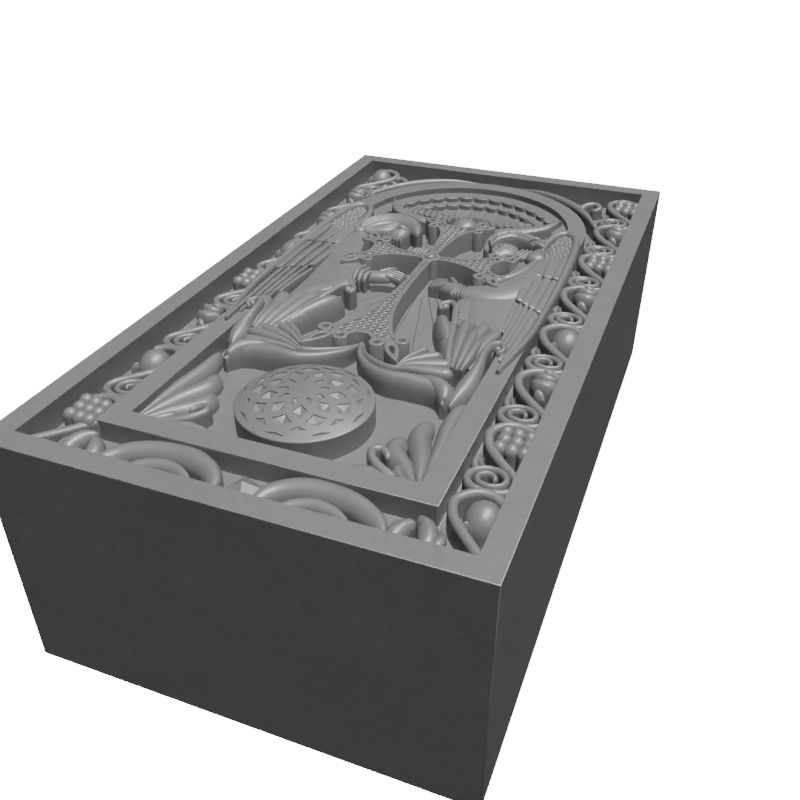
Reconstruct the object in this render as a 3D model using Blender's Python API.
"""Khachkar: a carved cross-stone, lying on its back with the carving up.

Run with blender --background --python part.py, or from Blender's text editor.
World frame in metres: X to the slab's right, Y towards its top, Z out of the carving.
The origin is at the middle of the underside.
"""
import math

import bmesh
import bpy
import numpy as np

# The block
WIDTH = 1.00
LENGTH = 1.80
THICKNESS = 0.58
RIM = 0.05
CARVING_DEPTH = 0.06

# The border channel and the arched frame that stands in it
CHANNEL = 0.10
TOP_GAP = 0.045
FRAME_BAND = 0.05
FRAME_DROP = 0.0135
ARCH_STEPS = 22

# The carving keeps its proportions from a drawing of this size, in metres:
# x from the centre line, y from the block's foot, heights above the carved ground
DRAWN_HALF_WIDTH = 0.30
DRAWN_FOOT = 0.20
DRAWN_HEIGHT = 1.455
DRAWN_DEPTH = 0.06
DRAWN_FRAME_HALF = 0.35
DRAWN_CHANNEL = 0.10
DRAWN_BORDER = 1.70
DRAWN_RIM = 0.05

# How deep each carved form reaches into the block below the ground
SINK = 0.008
SINK_STEP = 0.00007

# Faces that lie this near to one plane are merged
FLAT_ANGLE = 6.0

# Canopy of scallops inside the arch: radius of its cusps, lobe depth, height
CANOPY_LAYERS = ((0.267, 0.012, 0.033), (0.239, 0.012, 0.020))
CANOPY_OVERLAP = 0.008
SCALLOPS = 20
SCALLOP_STEPS = 2

# Cross
CROSS_CENTRE = (0.0, 1.080)
CROSS_HEIGHT = 0.057
CROSS_EDGE = 0.0085
LATTICE_DEPTH = 0.005
BOSS_RADIUS = 0.022
KNOB_RADIUS = 0.011
LOOP_RADIUS = 0.0145
LOOP_HOLE = 0.0065
LOOP_SIDES = 7
LOOP_DRILL = 0.022

# Rosette
ROSETTE_CENTRE = (0.0, 0.351)
ROSETTE_RADIUS = 0.140
ROSETTE_EDGE = 0.050
ROSETTE_CROWN = 0.078
ROSETTE_SIDES = 30
ROSETTE_FOLD = 9
ROSETTE_CIRCLE = 0.0675
ROSETTE_STRAP = 0.0056
ROSETTE_EYE = 0.030
PIT_DEPTH = 0.009
PIT_REACH = 1.6

# Vine borders
VINE_UNITS = 8
VINE_TUBE = 0.0095

# A leaf whose sides slope all the way down has its edges this far under the ground or the frame's face
EDGE_SINK = 0.002
UNDER_GROUND = -EDGE_SINK
UNDER_FRAME = DRAWN_DEPTH * (1 - FRAME_DROP / CARVING_DEPTH) - EDGE_SINK

STONE_COLOUR = (0.235, 0.235, 0.232, 1.0)
STONE_ROUGHNESS = 0.85

GROUND = THICKNESS - CARVING_DEPTH
FOOT = -LENGTH / 2
FRAME_HALF = WIDTH / 2 - RIM - CHANNEL
PANEL_HALF = FRAME_HALF - FRAME_BAND
FRAME_FOOT = FOOT + RIM + CHANNEL
PANEL_FOOT = FRAME_FOOT + FRAME_BAND
ARCH_CENTRE = LENGTH / 2 - RIM - TOP_GAP - FRAME_HALF
PANEL_HEIGHT = ARCH_CENTRE + PANEL_HALF - PANEL_FOOT
DRAWN_ARCH = DRAWN_FOOT + DRAWN_HEIGHT - DRAWN_HALF_WIDTH


def level(height):
    """Return the world height of a point of the drawing above the carved ground."""
    return GROUND + height * CARVING_DEPTH / DRAWN_DEPTH


def panel(x, y, height):
    """Place a point of the drawing in the arched panel."""
    return (x * PANEL_HALF / DRAWN_HALF_WIDTH,
            PANEL_FOOT + (y - DRAWN_FOOT) * PANEL_HEIGHT / DRAWN_HEIGHT,
            level(height))


def side_border(x, y, height):
    """Place a point in the right-hand channel: x from the channel's middle, y from the block's foot."""
    return (FRAME_HALF + CHANNEL / 2 + x * CHANNEL / DRAWN_CHANNEL,
            FOOT + RIM + (y - DRAWN_RIM) * (LENGTH - 2 * RIM) / DRAWN_BORDER,
            level(height))


def foot_border(x, y, height):
    """Place a point in the channel across the foot."""
    half = DRAWN_FRAME_HALF + DRAWN_CHANNEL
    return (x * (WIDTH / 2 - RIM) / half,
            FOOT + RIM + (y - DRAWN_RIM) * CHANNEL / DRAWN_CHANNEL,
            level(height))


def arch_border(x, y, height):
    """Place a point outside the arch, measured from the arch's centre."""
    reach = FRAME_HALF / DRAWN_FRAME_HALF
    return (x * reach, ARCH_CENTRE + y * reach, level(height))


def sided(place, side):
    """Return the same placing, mirrored when side is -1."""
    def mirrored(x, y, height):
        return place(side * x, y, height)
    return mirrored


def turned(place, centre, angle):
    """Return a placing whose points are given about a centre and turned by an angle."""
    def swung(x, y, height):
        cosine = math.cos(angle)
        sine = math.sin(angle)
        return place(centre[0] + x * cosine - y * sine, centre[1] + x * sine + y * cosine, height)
    return swung


def smooth_values(values, share):
    """Read a smooth curve through evenly spread values at a share of its length."""
    values = np.asarray(values, dtype=float)
    last = len(values) - 1
    place = min(max(share, 0.0), 1.0) * last
    index = min(int(place), last - 1)
    t = place - index
    before = values[max(index - 1, 0)]
    start = values[index]
    end = values[index + 1]
    after = values[min(index + 2, last)]
    return 0.5 * (2 * start + (end - before) * t + (2 * before - 5 * start + 4 * end - after) * t ** 2
                  + (3 * start - before - 3 * end + after) * t ** 3)


def even_path(points, steps):
    """Return steps + 1 places and their directions, evenly spread on a smooth curve through points."""
    dense = np.array([smooth_values(points, i / 200) for i in range(201)])
    runs = np.concatenate(([0.0], np.cumsum(np.hypot(*np.diff(dense, axis=0).T))))
    wanted = np.linspace(0.0, runs[-1], steps + 1)
    places = np.column_stack([np.interp(wanted, runs, dense[:, k]) for k in (0, 1)])
    directions = np.gradient(places, axis=0)
    directions /= np.maximum(np.hypot(directions[:, 0], directions[:, 1]), 1e-9)[:, None]
    return places, directions


def bowed(line, share):
    """Return the place at a share of a bow that starts, leans and ends at a line's three points."""
    start, lean, end = line
    return start * (1 - share) ** 2 + 2 * lean * share * (1 - share) + end * share ** 2


class Relief:
    """Collects closed carved bodies that all reach a little way below the ground."""

    def __init__(self):
        self.mesh = bmesh.new()
        self.count = 0

    def floor(self):
        """Return the depth of the next body's underside; no two lie in one plane."""
        self.count += 1
        return GROUND - SINK - self.count * SINK_STEP

    def body(self, top_rows):
        """Close a grid of top points with a skirt and an underside."""
        mesh = self.mesh
        low = self.floor()
        top = [[mesh.verts.new(point) for point in row] for row in top_rows]
        edge = top[0][:] + [row[-1] for row in top[1:-1]] + top[-1][::-1] + [row[0] for row in top[-2:0:-1]]
        under = [mesh.verts.new((vert.co.x, vert.co.y, low)) for vert in edge]
        for row, following in zip(top, top[1:]):
            for a, b, c, d in zip(row, row[1:], following[1:], following):
                mesh.faces.new((a, b, c, d))
        count = len(edge)
        for i in range(count):
            j = (i + 1) % count
            mesh.faces.new((edge[j], edge[i], under[i], under[j]))
        mesh.faces.new(under)
        verts = [vert for row in top for vert in row] + under
        bmesh.ops.remove_doubles(mesh, verts=verts, dist=0.00005)

    def leaf(self, place, points, widths, crests, edges=None, steps=6, tip=0.0, root=0.0):
        """Carve a ridged leaf along a path: half widths, crest heights and edge heights along it."""
        if edges is None:
            edges = [0.78 * crest for crest in crests]
        elif isinstance(edges, float):
            edges = [edges, edges]
        places, directions = even_path(points, steps)
        rows = []
        for i, ((x, y), (dx, dy)) in enumerate(zip(places, directions)):
            share = i / steps
            half = smooth_values(widths, share)
            if tip and share > 1 - tip:
                half *= math.sqrt(max(0.0, 1 - ((share - 1 + tip) / tip) ** 2))
            if root and share < root:
                half *= math.sqrt(max(0.0, 1 - ((root - share) / root) ** 2))
            crest = smooth_values(crests, share)
            edge = smooth_values(edges, share)
            if half < 0.0006:
                half = 0.0
                crest = edge
            rows.append([place(x - dy * half, y + dx * half, edge), place(x, y, crest),
                         place(x + dy * half, y - dx * half, edge)])
        self.body(rows)

    def fan(self, place, lines, crests, valleys, notch=0.84, rows=2):
        """Carve feathers side by side as one fluted body: a line of three points for each, root to tip."""
        lines = np.asarray(lines, dtype=float)
        grid = []
        for i in range(rows + 1):
            share = i / rows
            ridges = [bowed(line, share) for line in lines]
            short = [bowed(line, share * notch) for line in lines]
            crest = smooth_values(crests, share)
            valley = smooth_values(valleys, share)
            first = short[0] + (short[0] - short[1]) * 0.5
            last = short[-1] + (short[-1] - short[-2]) * 0.5
            row = [place(*first, valley)]
            for k, ridge in enumerate(ridges):
                row.append(place(*ridge, crest))
                between = (short[k] + short[k + 1]) / 2 if k + 1 < len(ridges) else last
                row.append(place(*between, valley))
            grid.append(row)
        self.body(grid)

    def dome(self, place, centre, radii, crown, edge, sides=8, rings=(0.0, 1.0)):
        """Carve a rounded knob with an upright side."""
        rows = []
        for share in rings:
            height = edge + (crown - edge) * math.sqrt(max(0.0, 1 - share * share))
            row = []
            for i in range(sides):
                angle = math.tau * i / sides
                row.append(place(centre[0] + radii[0] * share * math.cos(angle),
                                 centre[1] + radii[1] * share * math.sin(angle), height))
            rows.append(row)
        self.turned_body(rows)

    def turned_body(self, rows):
        """Close rings of points, from the middle outwards, with a skirt and an underside."""
        mesh = self.mesh
        low = self.floor()
        rings = [[mesh.verts.new(point) for point in row] for row in rows]
        rings.append([mesh.verts.new((vert.co.x, vert.co.y, low)) for vert in rings[-1]])
        count = len(rings[0])
        for ring, following in zip(rings, rings[1:]):
            for i in range(count):
                j = (i + 1) % count
                mesh.faces.new((ring[i], ring[j], following[j], following[i]))
        mesh.faces.new(rings[-1])
        bmesh.ops.remove_doubles(mesh, verts=rings[0], dist=0.00005)

    def prism(self, place, outline, height):
        """Raise a flat-topped body from an outline."""
        mesh = self.mesh
        low = self.floor()
        top = [mesh.verts.new(place(x, y, height)) for x, y in outline]
        under = [mesh.verts.new((vert.co.x, vert.co.y, low)) for vert in top]
        mesh.faces.new(top)
        mesh.faces.new(under[::-1])
        for i in range(len(top)):
            j = (i + 1) % len(top)
            mesh.faces.new((top[j], top[i], under[i], under[j]))

    def finished(self, name):
        """Return the collected bodies as one object with faces pointing out."""
        bmesh.ops.recalc_face_normals(self.mesh, faces=self.mesh.faces)
        data = bpy.data.meshes.new(name)
        self.mesh.to_mesh(data)
        self.mesh.free()
        made = bpy.data.objects.new(name, data)
        bpy.context.scene.collection.objects.link(made)
        return made


class Cutters:
    """Collects closed bodies that are cut out of the stone."""

    def __init__(self):
        self.mesh = bmesh.new()

    def prism(self, place, outline, low, high):
        """Cut an outline between two heights."""
        mesh = self.mesh
        top = [mesh.verts.new(place(x, y, high)) for x, y in outline]
        under = [mesh.verts.new(place(x, y, low)) for x, y in outline]
        mesh.faces.new(top)
        mesh.faces.new(under[::-1])
        for i in range(len(top)):
            j = (i + 1) % len(top)
            mesh.faces.new((top[j], top[i], under[i], under[j]))

    def pyramid(self, place, corners, apex):
        """Cut a pit whose sides run from its corners down to one low point, and on up past them."""
        mesh = self.mesh
        low = mesh.verts.new(place(*apex))
        top = []
        for corner in corners:
            raised = [apex[k] + (corner[k] - apex[k]) * PIT_REACH for k in range(3)]
            top.append(mesh.verts.new(place(*raised)))
        mesh.faces.new(top)
        for i in range(len(top)):
            j = (i + 1) % len(top)
            mesh.faces.new((top[i], top[j], low))

    def finished(self, name):
        """Return the cutters as one hidden object."""
        bmesh.ops.recalc_face_normals(self.mesh, faces=self.mesh.faces)
        data = bpy.data.meshes.new(name)
        self.mesh.to_mesh(data)
        self.mesh.free()
        made = bpy.data.objects.new(name, data)
        bpy.context.scene.collection.objects.link(made)
        made.hide_render = True
        made.display_type = "WIRE"
        return made


def make_block():
    """Return the plain block with its rim and the carved-out ground inside it."""
    mesh = bmesh.new()
    half_width = WIDTH / 2
    half_length = LENGTH / 2
    corners = ((-1, -1), (1, -1), (1, 1), (-1, 1))
    base = [mesh.verts.new((sx * half_width, sy * half_length, 0.0)) for sx, sy in corners]
    rim = [mesh.verts.new((sx * half_width, sy * half_length, THICKNESS)) for sx, sy in corners]
    lip = [mesh.verts.new((sx * (half_width - RIM), sy * (half_length - RIM), THICKNESS)) for sx, sy in corners]
    bed = [mesh.verts.new((sx * (half_width - RIM), sy * (half_length - RIM), GROUND)) for sx, sy in corners]
    mesh.faces.new(base[::-1])
    mesh.faces.new(bed)
    for lower, upper in ((base, rim), (rim, lip), (lip, bed)):
        for i in range(4):
            j = (i + 1) % 4
            mesh.faces.new((lower[i], lower[j], upper[j], upper[i]))
    bmesh.ops.recalc_face_normals(mesh, faces=mesh.faces)
    data = bpy.data.meshes.new("khachkar")
    mesh.to_mesh(data)
    mesh.free()
    block = bpy.data.objects.new("khachkar", data)
    bpy.context.scene.collection.objects.link(block)
    return block


def arch_outline(half, foot):
    """Return an outline with upright sides, a flat foot and a round head, in world places."""
    outline = [(-half, foot), (half, foot)]
    for i in range(ARCH_STEPS + 1):
        angle = math.pi * i / ARCH_STEPS
        outline.append((half * math.cos(angle), ARCH_CENTRE + half * math.sin(angle)))
    return outline


def carve_frame(relief):
    """Raise the arched band between the border channel and the panel."""
    mesh = relief.mesh
    low = relief.floor()
    high = THICKNESS - FRAME_DROP
    outer = arch_outline(FRAME_HALF, FRAME_FOOT)
    inner = arch_outline(PANEL_HALF, PANEL_FOOT)
    loops = []
    for outline, height in ((outer, low), (outer, high), (inner, high), (inner, low)):
        loops.append([mesh.verts.new((x, y, height)) for x, y in outline])
    for loop, following in zip(loops, loops[1:] + loops[:1]):
        for i in range(len(loop)):
            j = (i + 1) % len(loop)
            mesh.faces.new((loop[i], loop[j], following[j], following[i]))


def carve_canopy(relief):
    """Raise the two steps of scallops that follow the inside of the arch."""
    below = math.radians(9)
    for cusp_radius, lobe, height in CANOPY_LAYERS:
        rows = []
        count = SCALLOPS * SCALLOP_STEPS
        for i in range(count + 1):
            angle = -below + (math.pi + 2 * below) * i / count
            phase = (i % SCALLOP_STEPS) / SCALLOP_STEPS
            inward = lobe * math.sqrt(max(0.0, 1 - (2 * phase - 1) ** 2)) if phase else 0.0
            row = []
            for radius in (DRAWN_HALF_WIDTH + CANOPY_OVERLAP, cusp_radius - inward):
                row.append(panel(radius * math.cos(angle), DRAWN_ARCH + radius * math.sin(angle), height))
            rows.append(row)
        relief.body(rows)


def arm_half_outline(arm):
    """Return one side of a cross arm from the hub to the middle of its end: along, across."""
    start, waist, flare, side, side_loop, end_loop, hollow = arm
    edge = [start, waist, flare, side, (side_loop[0], side_loop[1] - 0.004)]
    curve, _ = even_path(edge, 7)
    corner = [(side_loop[0] + 0.008, side_loop[1] + 0.006), (end_loop[0] + 0.002, end_loop[1] + 0.006)]
    arc = []
    for i in range(1, 5):
        angle = math.pi / 2 * i / 4
        arc.append((hollow + (end_loop[0] - hollow) * (1 - math.sin(angle)),
                    (end_loop[1] - 0.004) * math.cos(angle)))
    return [tuple(point) for point in curve] + corner + arc


# Each arm: hub, waist, flare, side, side loop, end loop (along, across) and how far the hollow end reaches
UPPER_ARM = ((0.0, 0.0115), (0.082, 0.018), (0.15, 0.026), (0.19, 0.042), (0.210, 0.066), (0.264, 0.0616), 0.220)
SIDE_ARM = ((0.0, 0.011), (0.06, 0.0135), (0.10, 0.022), (0.135, 0.042), (0.154, 0.0665), (0.2035, 0.060), 0.162)
LOWER_ARM = ((0.0, 0.0115), (0.18, 0.0125), (0.32, 0.027), (0.41, 0.058), (0.443, 0.093), (0.469, 0.044), 0.4375)
CROSS_ARMS = ((UPPER_ARM, math.pi / 2), (SIDE_ARM, 0.0), (SIDE_ARM, math.pi), (LOWER_ARM, -math.pi / 2))
LEAF_TIPS = {UPPER_ARM: (0.254, 0.102), SIDE_ARM: (0.210, 0.103), LOWER_ARM: (0.524, 0.110)}


def carve_cross(relief, cuts):
    """Raise the winged cross with its loops and leaves, and sink its lattice panels."""
    for arm, angle in CROSS_ARMS:
        place = turned(panel, CROSS_CENTRE, angle)
        half = arm_half_outline(arm)
        outline = half + [(x, -y) for x, y in half[-2::-1]]
        relief.prism(place, outline, CROSS_HEIGHT)
        start, waist, flare, side, side_loop, end_loop, hollow = arm
        sunk = [(BOSS_RADIUS + 0.012, waist[1] * 0.30), (waist[0], waist[1] - CROSS_EDGE * 0.8),
                (flare[0], flare[1] - CROSS_EDGE), (hollow - 0.018, side[1] - CROSS_EDGE * 0.6),
                (hollow - 0.013, 0.0)]
        recess = sunk + [(x, -y) for x, y in sunk[-2::-1]]
        cuts.prism(place, recess, CROSS_HEIGHT - LATTICE_DEPTH, CROSS_HEIGHT + 0.01)
        for hand in (1, -1):
            for along, across in (side_loop, end_loop):
                spot = (along, across * hand)
                relief.prism(place, circle(spot, LOOP_RADIUS, LOOP_SIDES), CROSS_HEIGHT)
                cuts.prism(place, circle(spot, LOOP_HOLE, 4), CROSS_HEIGHT - LOOP_DRILL, CROSS_HEIGHT + 0.01)
            tip = LEAF_TIPS[arm]
            root = ((side_loop[0] + end_loop[0]) / 2, (side_loop[1] + end_loop[1]) / 2)
            middle = ((root[0] * 0.45 + tip[0] * 0.55), (root[1] * 0.45 + tip[1] * 0.55))
            relief.leaf(place, [(root[0], root[1] * hand), (middle[0], middle[1] * hand), (tip[0], tip[1] * hand)],
                        [0.013, 0.013, 0.0], [CROSS_HEIGHT - 0.0001] * 2, [CROSS_HEIGHT - 0.0001] * 2, steps=4)
    relief.prism(panel, circle(CROSS_CENTRE, BOSS_RADIUS, 16), CROSS_HEIGHT + 0.001)
    relief.dome(panel, CROSS_CENTRE, (KNOB_RADIUS, KNOB_RADIUS), CROSS_HEIGHT + 0.012, CROSS_HEIGHT + 0.004)


def circle(centre, radius, sides):
    """Return an even-sided outline about a centre."""
    angles = [math.tau * i / sides for i in range(sides)]
    return [(centre[0] + radius * math.cos(angle), centre[1] + radius * math.sin(angle)) for angle in angles]


def rosette_height(radius):
    """Return the rosette's height at a distance from its middle."""
    return ROSETTE_EDGE + (ROSETTE_CROWN - ROSETTE_EDGE) * (1 - (radius / ROSETTE_RADIUS) ** 2)


def crossing(first_angle, first_radius, second_angle, second_radius):
    """Return where two of the rosette's circles cross, on the side away from its middle."""
    a = np.array((math.cos(first_angle), math.sin(first_angle))) * ROSETTE_CIRCLE
    b = np.array((math.cos(second_angle), math.sin(second_angle))) * ROSETTE_CIRCLE
    gap = b - a
    distance = math.hypot(*gap)
    along = (distance ** 2 + first_radius ** 2 - second_radius ** 2) / (2 * distance)
    across = math.sqrt(max(0.0, first_radius ** 2 - along ** 2))
    middle = a + gap * along / distance
    normal = np.array((-gap[1], gap[0])) / distance
    one = middle + normal * across
    other = middle - normal * across
    return one if math.hypot(*one) > math.hypot(*other) else other


def pit_corners(direction, rank):
    """Return the corners of the pit between the circles' straps; rank counts from the rim inwards."""
    step = math.pi / ROSETTE_FOLD
    small = ROSETTE_CIRCLE - ROSETTE_STRAP
    large = ROSETTE_CIRCLE + ROSETTE_STRAP
    if rank == 0:
        outer = ROSETTE_RADIUS - 2.2 * ROSETTE_STRAP
        inner = crossing(direction - step, large, direction + step, large)
        spread = (direction - 0.55 * step, direction + 0.55 * step)
        return [np.array((math.cos(angle), math.sin(angle))) * outer for angle in spread] + [inner]
    left = crossing(direction + (1 - rank) * step, small, direction + (rank + 1) * step, large)
    right = crossing(direction + (rank - 1) * step, small, direction - (rank + 1) * step, large)
    if rank == 1:
        outer = np.array((math.cos(direction), math.sin(direction))) * (ROSETTE_CIRCLE + small)
    else:
        outer = crossing(direction + (rank - 1) * step, small, direction - (rank - 1) * step, small)
    if rank == 4:
        inner = np.array((math.cos(direction), math.sin(direction))) * ROSETTE_EYE
    else:
        inner = crossing(direction + (rank + 1) * step, large, direction - (rank + 1) * step, large)
    return [inner, right, outer, left]


def carve_rosette(relief, cuts):
    """Raise the domed rosette and sink the pits between its interlaced circles."""
    rows = []
    for share in (0.0, 0.3, 0.62, 0.86, 1.0):
        radius = share * ROSETTE_RADIUS
        ring = circle(ROSETTE_CENTRE, radius, ROSETTE_SIDES)
        rows.append([panel(x, y, rosette_height(radius)) for x, y in ring])
    relief.turned_body(rows)
    step = math.pi / ROSETTE_FOLD
    for rank in range(5):
        for i in range(ROSETTE_FOLD):
            direction = -math.pi / 2 + 2 * step * i + (step if rank % 2 else 0.0)
            corners = []
            for x, y in pit_corners(direction, rank):
                corners.append((ROSETTE_CENTRE[0] + x, ROSETTE_CENTRE[1] + y, rosette_height(math.hypot(x, y))))
            middle = np.mean(corners, axis=0)
            depth = PIT_DEPTH if rank in (1, 2, 3) else PIT_DEPTH * 0.6
            cuts.pyramid(panel, corners, (middle[0], middle[1], middle[2] - depth))


def carve_foot_wing(relief, side):
    """Raise one of the pair of feathered leaves that spring from below the cross."""
    place = sided(panel, side)
    relief.leaf(place, [(0.001, 0.634), (0.022, 0.582), (0.060, 0.539), (0.109, 0.512), (0.1585, 0.520),
                        (0.208, 0.518), (0.240, 0.495), (0.249, 0.458)],
                [0.005, 0.011, 0.016, 0.020, 0.024, 0.024, 0.018, 0.0],
                [0.034, 0.040, 0.045, 0.050, 0.052, 0.050, 0.044, 0.030], steps=9)
    low_tips = ((0.245, 0.536), (0.243, 0.560), (0.228, 0.579), (0.200, 0.595), (0.172, 0.606))
    lines = []
    for i, (x, y) in enumerate(low_tips):
        root = (0.090 + 0.004 * i, 0.522 + 0.012 * i)
        lean = ((root[0] + x) / 2, (root[1] + y) / 2 + 0.012)
        lines.append((root, lean, (x, y)))
    relief.fan(place, lines, [0.038, 0.050, 0.050], [0.030, 0.036, 0.036])
    back = [((0.250, 0.590), (0.264, 0.680), (0.298, 0.746)), ((0.240, 0.590), (0.238, 0.700), (0.261, 0.780)),
            ((0.228, 0.600), (0.212, 0.730), (0.226, 0.808)), ((0.214, 0.610), (0.186, 0.720), (0.188, 0.812)),
            ((0.200, 0.620), (0.170, 0.710), (0.152, 0.814))]
    relief.fan(place, back, [0.044, 0.052, 0.054], [0.030, 0.038, 0.038])
    front = [((0.244, 0.580), (0.248, 0.650), (0.256, 0.706)), ((0.230, 0.580), (0.229, 0.670), (0.236, 0.734)),
             ((0.216, 0.590), (0.206, 0.680), (0.205, 0.752))]
    relief.fan(place, front, [0.046, 0.058, 0.058], [0.036, 0.050, 0.050])
    relief.leaf(place, [(0.262, 0.470), (0.276, 0.540), (0.281, 0.600), (0.279, 0.650), (0.284, 0.684),
                        (0.298, 0.692), (0.309, 0.678), (0.304, 0.662)],
                [0.006, 0.022, 0.025, 0.017, 0.012, 0.010, 0.009, 0.006],
                [0.034, 0.046, 0.052, 0.058, 0.063, 0.064, 0.064, 0.062], steps=9)
    relief.leaf(place, [(0.196, 0.640), (0.162, 0.730), (0.140, 0.800), (0.134, 0.842)],
                [0.012, 0.014, 0.013, 0.012], [0.045, 0.052, 0.055, 0.057], steps=5, tip=0.15)


def carve_palmette(relief, side):
    """Raise the spray of leaves in one foot corner of the panel."""
    place = sided(panel, side)
    leaves = (((0.296, 0.208), (0.290, 0.330), (0.281, 0.430), (0.286, 0.498), 0.019),
              ((0.292, 0.208), (0.264, 0.300), (0.237, 0.365), (0.244, 0.414), 0.022),
              ((0.286, 0.208), (0.248, 0.260), (0.210, 0.305), (0.213, 0.346), 0.022),
              ((0.270, 0.206), (0.254, 0.222), (0.240, 0.238), (0.237, 0.256), 0.013))
    for first, second, third, tip, half in leaves:
        relief.leaf(place, [first, second, third, tip], [half * 0.4, half * 0.9, half, half],
                    [0.030, 0.036, 0.036, 0.032], UNDER_GROUND, steps=4, tip=0.3)
    relief.leaf(place, [(0.290, 0.210), (0.220, 0.222), (0.165, 0.224), (0.115, 0.214)],
                [0.010, 0.016, 0.014, 0.0], [0.030, 0.030, 0.026, 0.018], UNDER_GROUND, steps=4)
    relief.leaf(place, [(0.250, 0.214), (0.205, 0.235), (0.182, 0.258), (0.190, 0.277), (0.210, 0.268)],
                [0.010, 0.011, 0.010, 0.009, 0.008], [0.030, 0.034, 0.037, 0.037, 0.034], steps=6, tip=0.15)


# Rows of an angel's long feathers: top, bottom, inner and outer feather, how many, height
WING_ROWS = ((1.250, 1.090, 0.276, 0.340, 4, 0.060), (1.120, 0.930, 0.280, 0.340, 4, 0.057),
             (0.980, 0.590, 0.304, 0.340, 3, 0.054))


def carve_angel(relief, side):
    """Raise one angel: wing over the frame, robe, sleeve, hand, neck, head and hair."""
    place = sided(panel, side)
    relief.leaf(place, [(0.308, 1.300), (0.310, 1.180), (0.312, 1.060)], [0.030, 0.040, 0.036],
                [0.058, 0.058, 0.056], [0.052, 0.052, 0.050], steps=5)
    relief.leaf(place, [(0.274, 1.215), (0.272, 1.290), (0.288, 1.345), (0.316, 1.350), (0.339, 1.300),
                        (0.348, 1.220)], [0.008, 0.009, 0.010, 0.010, 0.009, 0.006],
                [0.056, 0.060, 0.062, 0.062, 0.060, 0.058], UNDER_FRAME, steps=8)
    for top, bottom, inner, outer, count, high in WING_ROWS:
        lines = []
        for i in range(count):
            x = inner + (outer - inner) * i / (count - 1)
            lines.append(((x, top), (x + 0.004, (top + bottom) / 2), (x - 0.001, bottom - 0.006 * i)))
        relief.fan(place, lines, [high, high], [high - 0.005, high - 0.006], notch=0.90, rows=1)
    bend = 0.012 if side > 0 else -0.008
    relief.leaf(place, [(0.222, 1.200), (0.240 + bend, 1.120), (0.232, 1.020), (0.205, 0.940), (0.205, 0.860),
                        (0.215, 0.760)], [0.026, 0.040, 0.048, 0.056, 0.060, 0.055],
                [0.034, 0.044, 0.044, 0.040, 0.036, 0.034], steps=6)
    relief.leaf(place, [(0.262, 1.200), (0.272, 1.130), (0.262, 1.050), (0.232, 0.990), (0.180, 0.962),
                        (0.126, 0.952)], [0.018, 0.030, 0.034, 0.036, 0.033, 0.026],
                [0.044, 0.052, 0.054, 0.054, 0.050, 0.044], steps=7)
    relief.leaf(place, [(0.135, 0.962), (0.100, 0.975), (0.066, 0.980), (0.034, 0.974)],
                [0.020, 0.021, 0.020, 0.014], [0.036, 0.040, 0.040, 0.034], steps=4, tip=0.25)
    relief.leaf(place, [(0.098, 0.990), (0.084, 1.012), (0.074, 1.026)], [0.008, 0.007, 0.005],
                [0.036, 0.038, 0.036], steps=3, tip=0.3)
    relief.leaf(place, [(0.236, 1.170), (0.215, 1.210), (0.200, 1.240)], [0.022, 0.022, 0.024],
                [0.036, 0.040, 0.044], steps=3)
    relief.dome(place, (0.178, 1.246), (0.042, 0.050), 0.060, 0.030, sides=10, rings=(0.0, 0.62, 1.0))
    relief.leaf(place, [(0.132, 1.232), (0.140, 1.282), (0.172, 1.314), (0.212, 1.306), (0.242, 1.266),
                        (0.254, 1.216)], [0.012, 0.020, 0.026, 0.028, 0.024, 0.012],
                [0.044, 0.058, 0.062, 0.062, 0.056, 0.042], steps=7)
    relief.leaf(place, [(0.052, 1.150), (0.060, 1.178), (0.066, 1.206)], [0.012, 0.014, 0.010],
                [0.022, 0.026, 0.020], steps=3, tip=0.3)


def carve_dove(relief):
    """Raise the diving dove between the cross and the canopy."""
    relief.dome(panel, (0.0, 1.378), (0.036, 0.040), 0.048, 0.024, sides=10, rings=(0.0, 0.62, 1.0))
    tail_rays = 9
    lines = []
    for i in range(tail_rays):
        angle = math.radians(28 + 124 * i / (tail_rays - 1))
        reach = 0.058 + 0.040 * math.sin(angle) ** 2
        lines.append([(share * reach * math.cos(angle), 1.378 + share * reach * math.sin(angle))
                      for share in (0.15, 0.58, 1.0)])
    relief.fan(panel, lines, [0.024, 0.026], [0.014, 0.014], notch=0.90, rows=1)
    for side in (1, -1):
        place = sided(panel, side)
        relief.leaf(place, [(0.070, 1.372), (0.125, 1.378), (0.182, 1.398), (0.226, 1.436), (0.258, 1.500)],
                    [0.014, 0.018, 0.018, 0.013, 0.0], [0.034, 0.044, 0.047, 0.047, 0.046], steps=6)
        feathers = 7
        lines = []
        for i in range(feathers):
            share = i / (feathers - 1)
            x = 0.062 + 0.135 * share
            y = 1.385 + 0.022 * share
            length = 0.046 + 0.016 * math.sin(math.pi * share)
            lines.append(((x, y), (x - 0.006, y + length * 0.5), (x - 0.016, y + length)))
        relief.fan(place, lines, [0.036, 0.034], [0.026, 0.024], notch=0.86, rows=1)


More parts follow.
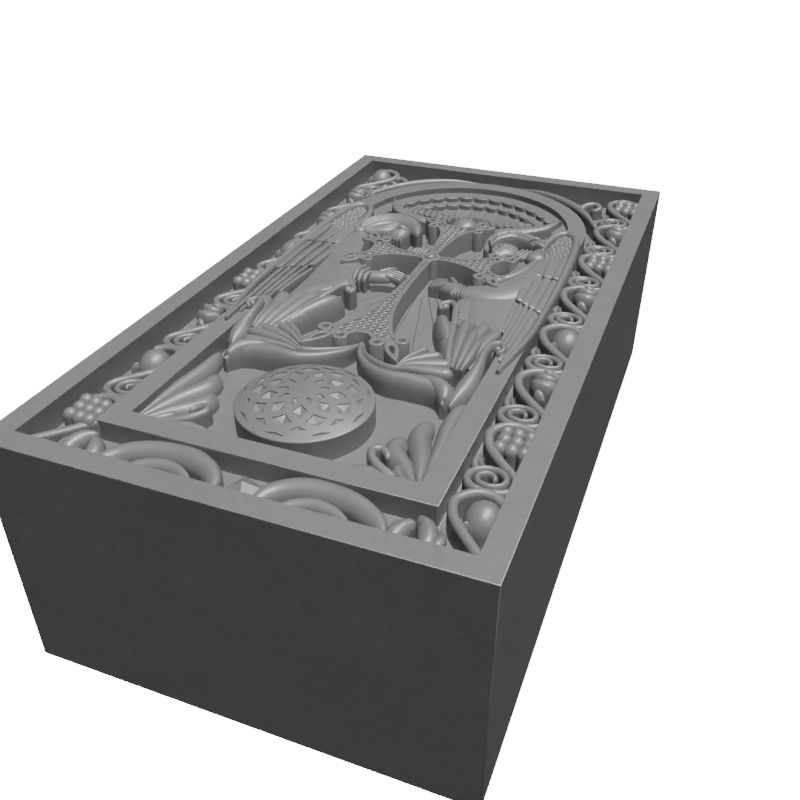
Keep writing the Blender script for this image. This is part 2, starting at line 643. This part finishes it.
def carve_vine_unit(relief, side, base, fruit):
    """Raise one turn of the border vine: its stem, scroll leaf, side leaf and fruit."""
    def place(x, y, height):
        point = side_border(x, base + y, height)
        return (side * point[0], point[1], point[2])

    relief.leaf(place, [(0.046, 0.178), (0.016, 0.196), (-0.022, 0.178), (-0.038, 0.136), (-0.018, 0.088),
                        (0.020, 0.052), (0.042, 0.018), (0.030, -0.012), (0.002, -0.008)],
                [VINE_TUBE] * 2, [0.040, 0.046, 0.050, 0.050, 0.050, 0.048, 0.044, 0.040, 0.036],
                steps=6)
    relief.leaf(place, [(0.020, 0.004), (-0.018, -0.006), (-0.034, 0.026), (-0.030, 0.060), (-0.044, 0.092)],
                [0.014, 0.020, 0.018, 0.012, 0.0], [0.026, 0.032, 0.036, 0.034, 0.024], UNDER_GROUND, steps=3)
    if fruit == "grapes":
        for column in range(2):
            for row in range(2):
                spot = (0.008 + 0.024 * column, 0.138 - 0.032 * row + 0.010 * column)
                relief.dome(place, spot, (0.014, 0.018), 0.052, 0.030, sides=5)
    elif fruit == "pomegranate":
        relief.dome(place, (0.020, 0.120), (0.027, 0.038), 0.056, 0.026, sides=6, rings=(0.0, 0.7, 1.0))
    else:
        relief.leaf(place, [(0.006, 0.164), (0.008, 0.130), (0.022, 0.092)], [0.016, 0.017, 0.0],
                    [0.044, 0.046, 0.030], UNDER_GROUND, steps=3, root=0.3)
        relief.leaf(place, [(0.034, 0.160), (0.036, 0.120), (0.026, 0.090)], [0.010, 0.013, 0.0],
                    [0.036, 0.040, 0.028], UNDER_GROUND, steps=2)


RIGHT_FRUITS = ("pomegranate", "grapes", "bud", "pomegranate", "bud", "grapes", "bud", "grapes")
LEFT_FRUITS = ("grapes", "pomegranate", "bud", "grapes", "pomegranate", "bud", "bud", "pomegranate")


def carve_vines(relief):
    """Raise both border vines, one turn above the other."""
    for side, fruits in ((1, RIGHT_FRUITS), (-1, LEFT_FRUITS)):
        for i in range(VINE_UNITS):
            base = DRAWN_RIM + DRAWN_BORDER * (i + 0.02) / VINE_UNITS
            carve_vine_unit(relief, side, base, fruits[i % len(fruits)])


def carve_foot_border(relief):
    """Raise the pair of round arches, the small pyramid and the curls across the foot."""
    relief.prism(foot_border, circle((0.0, 0.100), 0.030, 4), 0.012)
    for side in (1, -1):
        place = sided(foot_border, side)
        relief.leaf(place, [(0.030, 0.060), (0.045, 0.100), (0.085, 0.126), (0.140, 0.132), (0.200, 0.124),
                            (0.245, 0.096), (0.268, 0.056)], [0.012, 0.017, 0.018, 0.018, 0.018, 0.017, 0.012],
                    [0.030, 0.038, 0.042, 0.042, 0.042, 0.038, 0.030], steps=8)
        relief.leaf(place, [(0.075, 0.058), (0.100, 0.086), (0.145, 0.096), (0.190, 0.086), (0.222, 0.058)],
                    [0.010, 0.012, 0.012, 0.012, 0.010], [0.028, 0.034, 0.036, 0.034, 0.028], UNDER_GROUND, steps=5)
        relief.leaf(place, [(0.286, 0.058), (0.300, 0.100), (0.328, 0.122), (0.346, 0.098), (0.340, 0.062)],
                    [0.010, 0.014, 0.014, 0.012, 0.008], [0.030, 0.038, 0.042, 0.040, 0.032], steps=6)
        relief.leaf(place, [(0.362, 0.062), (0.372, 0.096), (0.366, 0.124)], [0.008, 0.011, 0.0],
                    [0.028, 0.034, 0.024], UNDER_GROUND, steps=3)


def carve_spandrels(relief):
    """Raise the round band and the curl outside each shoulder of the arch."""
    for side in (1, -1):
        place = sided(arch_border, side)
        angles = [math.radians(degrees) for degrees in (22, 34, 46, 58, 70, 78)]
        arc = [(0.366 * math.cos(angle), 0.366 * math.sin(angle)) for angle in angles]
        relief.leaf(place, arc, [0.006, 0.016, 0.018, 0.018, 0.014, 0.004],
                    [0.034, 0.040, 0.042, 0.042, 0.040, 0.030], steps=7)
        relief.leaf(place, [(0.290, 0.290), (0.306, 0.318), (0.330, 0.322), (0.336, 0.298), (0.318, 0.292)],
                    [0.008, 0.009, 0.009, 0.009, 0.007], [0.030, 0.036, 0.038, 0.036, 0.032], UNDER_GROUND,
                    steps=5, tip=0.2)


def stone_material():
    """Return the grey stone."""
    material = bpy.data.materials.new("stone")
    material.use_nodes = True
    shader = material.node_tree.nodes["Principled BSDF"]
    shader.inputs["Base Color"].default_value = STONE_COLOUR
    shader.inputs["Roughness"].default_value = STONE_ROUGHNESS
    shader.inputs["Metallic"].default_value = 0.0
    return material


def add_boolean(target, other, operation, overlapping):
    """Join or cut with an exact Boolean."""
    step = target.modifiers.new(operation.title(), "BOOLEAN")
    step.operation = operation
    step.solver = "EXACT"
    step.use_self = overlapping
    step.object = other
    other.hide_render = True
    other.display_type = "WIRE"


def main():
    """Build the stone."""
    for old in list(bpy.data.objects):
        bpy.data.objects.remove(old)
    khachkar = make_block()
    khachkar.data.materials.append(stone_material())
    relief = Relief()
    cuts = Cutters()
    carve_frame(relief)
    carve_canopy(relief)
    carve_cross(relief, cuts)
    carve_rosette(relief, cuts)
    for side in (1, -1):
        carve_foot_wing(relief, side)
        carve_palmette(relief, side)
        carve_angel(relief, side)
    carve_dove(relief)
    carve_vines(relief)
    carve_foot_border(relief)
    carve_spandrels(relief)
    add_boolean(khachkar, relief.finished("carving"), "UNION", True)
    add_boolean(khachkar, cuts.finished("sunk_work"), "DIFFERENCE", True)
    cleaning = khachkar.modifiers.new("merged_planes", "DECIMATE")
    cleaning.decimate_type = "DISSOLVE"
    cleaning.angle_limit = math.radians(FLAT_ANGLE)


main()
